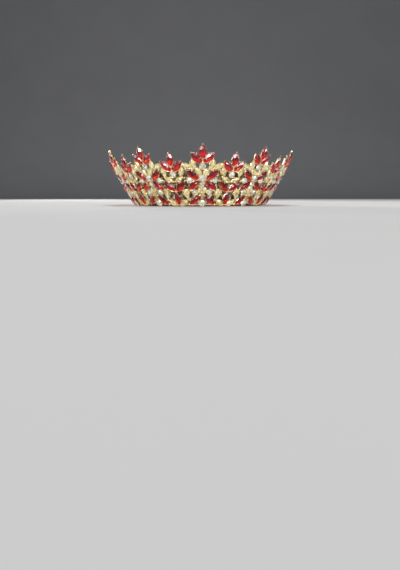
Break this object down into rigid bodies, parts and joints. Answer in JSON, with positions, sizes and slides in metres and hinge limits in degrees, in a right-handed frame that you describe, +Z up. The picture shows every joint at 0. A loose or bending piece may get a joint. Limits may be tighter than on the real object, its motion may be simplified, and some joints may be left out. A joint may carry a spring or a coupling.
{
  "type": "bridal crown",
  "caption": "Closed bridal crown of soldered gold settings that lean outward, with red, champagne and clear cut stones in tall and short motifs.",
  "frame": {"origin": "middle of the crown's footprint, on the plane it rests on", "axes": "+Z up, the front motif faces -Y, +X to the right as seen from the front"},
  "size_m": [0.2264, 0.2486, 0.0632],
  "materials": {
    "setting": "polished gold colour, with its set stones fused in",
    "red_stone": "foil-backed red cut glass",
    "clear_stone": "foil-backed clear cut glass"
  },
  "bodies": {
    "root": {"crown_wall": "setting", "crest_tall_01": "red_stone", "crest_short_01": "red_stone", "drop_01": "clear_stone", "crest_tall_02": "red_stone", "crest_short_02": "red_stone", "drop_02": "clear_stone", "crest_tall_03": "red_stone", "crest_short_03": "red_stone", "drop_03": "clear_stone", "crest_tall_04": "red_stone", "crest_short_04": "red_stone", "drop_04": "clear_stone", "crest_tall_05": "red_stone", "crest_short_05": "red_stone", "drop_05": "clear_stone", "crest_tall_06": "red_stone", "crest_short_06": "red_stone", "drop_06": "clear_stone", "crest_tall_07": "red_stone", "crest_short_07": "red_stone", "drop_07": "clear_stone", "crest_tall_08": "red_stone", "crest_short_08": "red_stone", "drop_08": "clear_stone", "crest_tall_09": "red_stone", "crest_short_09": "red_stone", "drop_09": "clear_stone", "crest_tall_10": "red_stone", "crest_short_10": "red_stone", "drop_10": "clear_stone", "crest_tall_11": "red_stone", "crest_short_11": "red_stone", "drop_11": "clear_stone"}
  },
  "joints": []
}
